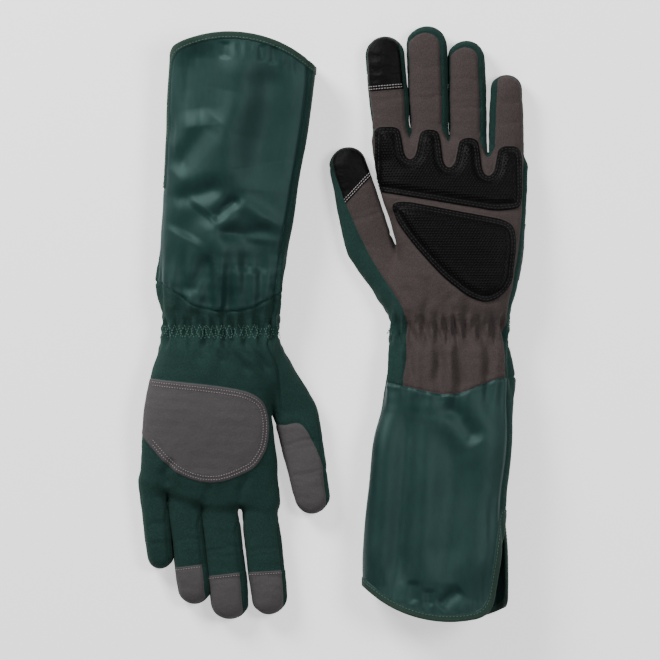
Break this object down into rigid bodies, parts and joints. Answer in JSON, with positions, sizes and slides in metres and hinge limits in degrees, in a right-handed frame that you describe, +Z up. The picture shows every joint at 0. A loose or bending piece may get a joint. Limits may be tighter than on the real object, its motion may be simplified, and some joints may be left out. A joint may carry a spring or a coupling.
{
  "type": "gardening gloves",
  "caption": "Pair of long gauntlet gardening gloves with padded grip palms, suede trim and elastic wrists; fingers, thumbs and wrists bend.",
  "frame": {"origin": "on the ground under the middle of the pair's outline", "axes": "+Z up; +Y the way the left glove's fingers point; +X from the right glove to the left glove"},
  "size_m": [0.2776, 0.4273, 0.0442],
  "materials": {
    "knit": "fine ribbed knit, matt",
    "suede": "brushed suede, matt",
    "elastic": "woven elastic, matt",
    "grip": "embossed dots, low sheen",
    "foam": "soft open foam, matt",
    "grey_suede": "brushed suede, matt",
    "nylon": "coated woven nylon, satin",
    "binding": "folded tape, satin",
    "touch": "smooth, low sheen"
  },
  "bodies": {
    "right_hand": {"right_back_panel": "knit", "right_palm_panel": "suede", "right_thumb_gusset": "knit", "right_wrist_elastic": "elastic", "right_knuckle_pad": "grip", "right_heel_pad": "grip", "right_pad_foam": "foam", "right_back_patch": "grey_suede"},
    "right_gauntlet": {"right_gauntlet_back": "nylon", "right_gauntlet_palm": "nylon", "right_hem_binding": "binding"},
    "right_index": {"right_index_front": "suede", "right_index_touch_tip": "touch", "right_index_back": "knit", "right_index_tip_cap": "grey_suede", "right_index_fourchette": "knit"},
    "right_middle": {"right_middle_front": "suede", "right_middle_back": "knit", "right_middle_tip_cap": "grey_suede", "right_middle_fourchette": "knit"},
    "right_ring": {"right_ring_front": "suede", "right_ring_back": "knit", "right_ring_tip_cap": "grey_suede", "right_ring_fourchette": "knit"},
    "right_little": {"right_little_front": "suede", "right_little_back": "knit", "right_little_fourchette": "knit"},
    "right_thumb": {"right_thumb_front": "suede", "right_thumb_touch_tip": "touch", "right_thumb_back": "grey_suede"},
    "left_hand": {"left_back_panel": "knit", "left_palm_panel": "suede", "left_thumb_gusset": "knit", "left_wrist_elastic": "elastic", "left_knuckle_pad": "grip", "left_heel_pad": "grip", "left_pad_foam": "foam", "left_back_patch": "grey_suede"},
    "left_gauntlet": {"left_gauntlet_back": "nylon", "left_gauntlet_palm": "nylon", "left_hem_binding": "binding"},
    "left_index": {"left_index_front": "suede", "left_index_touch_tip": "touch", "left_index_back": "knit", "left_index_tip_cap": "grey_suede", "left_index_fourchette": "knit"},
    "left_middle": {"left_middle_front": "suede", "left_middle_back": "knit", "left_middle_tip_cap": "grey_suede", "left_middle_fourchette": "knit"},
    "left_ring": {"left_ring_front": "suede", "left_ring_back": "knit", "left_ring_tip_cap": "grey_suede", "left_ring_fourchette": "knit"},
    "left_little": {"left_little_front": "suede", "left_little_back": "knit", "left_little_fourchette": "knit"},
    "left_thumb": {"left_thumb_front": "suede", "left_thumb_touch_tip": "touch", "left_thumb_back": "grey_suede"}
  },
  "joints": [
    {"name": "right_index_bend", "type": "hinge", "parent": "right_hand", "child": "right_index", "pos_m": [-0.05148, -0.14971, 0.0087], "axis": [0.9938, 0.1115, 0], "range_deg": [0, 80]},
    {"name": "right_middle_bend", "type": "hinge", "parent": "right_hand", "child": "right_middle", "pos_m": [-0.08065, -0.14921, 0.0087], "axis": [0.9934, 0.1149, 0], "range_deg": [0, 80]},
    {"name": "right_ring_bend", "type": "hinge", "parent": "right_hand", "child": "right_ring", "pos_m": [-0.10599, -0.1442, 0.0087], "axis": [0.9925, 0.1219, 0], "range_deg": [0, 80]},
    {"name": "right_little_bend", "type": "hinge", "parent": "right_hand", "child": "right_little", "pos_m": [-0.12825, -0.13871, 0.0087], "axis": [0.9934, 0.1149, 0], "range_deg": [0, 80]},
    {"name": "right_thumb_bend", "type": "hinge", "parent": "right_hand", "child": "right_thumb", "pos_m": [-0.02595, -0.07112, 0.0087], "axis": [0.9823, 0.1874, 0], "range_deg": [0, 60]},
    {"name": "right_wrist_bend", "type": "hinge", "parent": "right_hand", "child": "right_gauntlet", "pos_m": [-0.081, 0.0176, 0.018], "axis": [1, 0, 0], "range_deg": [-50, 50]},
    {"name": "left_glove_lift", "type": "slide", "parent": "right_hand", "child": "left_hand", "axis": [0, 0, 1], "range_m": [0, 0.3]},
    {"name": "left_index_bend", "type": "hinge", "parent": "left_hand", "child": "left_index", "pos_m": [0.04091, 0.15014, 0.0087], "axis": [0.9965, 0.0837, 0], "range_deg": [0, 80]},
    {"name": "left_middle_bend", "type": "hinge", "parent": "left_hand", "child": "left_middle", "pos_m": [0.06898, 0.14816, 0.0087], "axis": [0.9997, 0.0262, 0], "range_deg": [0, 80]},
    {"name": "left_ring_bend", "type": "hinge", "parent": "left_hand", "child": "left_ring", "pos_m": [0.09676, 0.14216, 0.0087], "axis": [0.9998, 0.0175, 0], "range_deg": [0, 80]},
    {"name": "left_little_bend", "type": "hinge", "parent": "left_hand", "child": "left_little", "pos_m": [0.125, 0.13617, 0.0087], "axis": [1, 0, 0], "range_deg": [0, 80]},
    {"name": "left_thumb_bend", "type": "hinge", "parent": "left_hand", "child": "left_thumb", "pos_m": [0.02423, 0.0614, 0.0087], "axis": [0.9681, 0.2504, 0], "range_deg": [0, 60]},
    {"name": "left_wrist_bend", "type": "hinge", "parent": "left_hand", "child": "left_gauntlet", "pos_m": [0.0828, -0.0272, 0.018], "axis": [1, 0, 0], "range_deg": [-50, 50]}
  ]
}
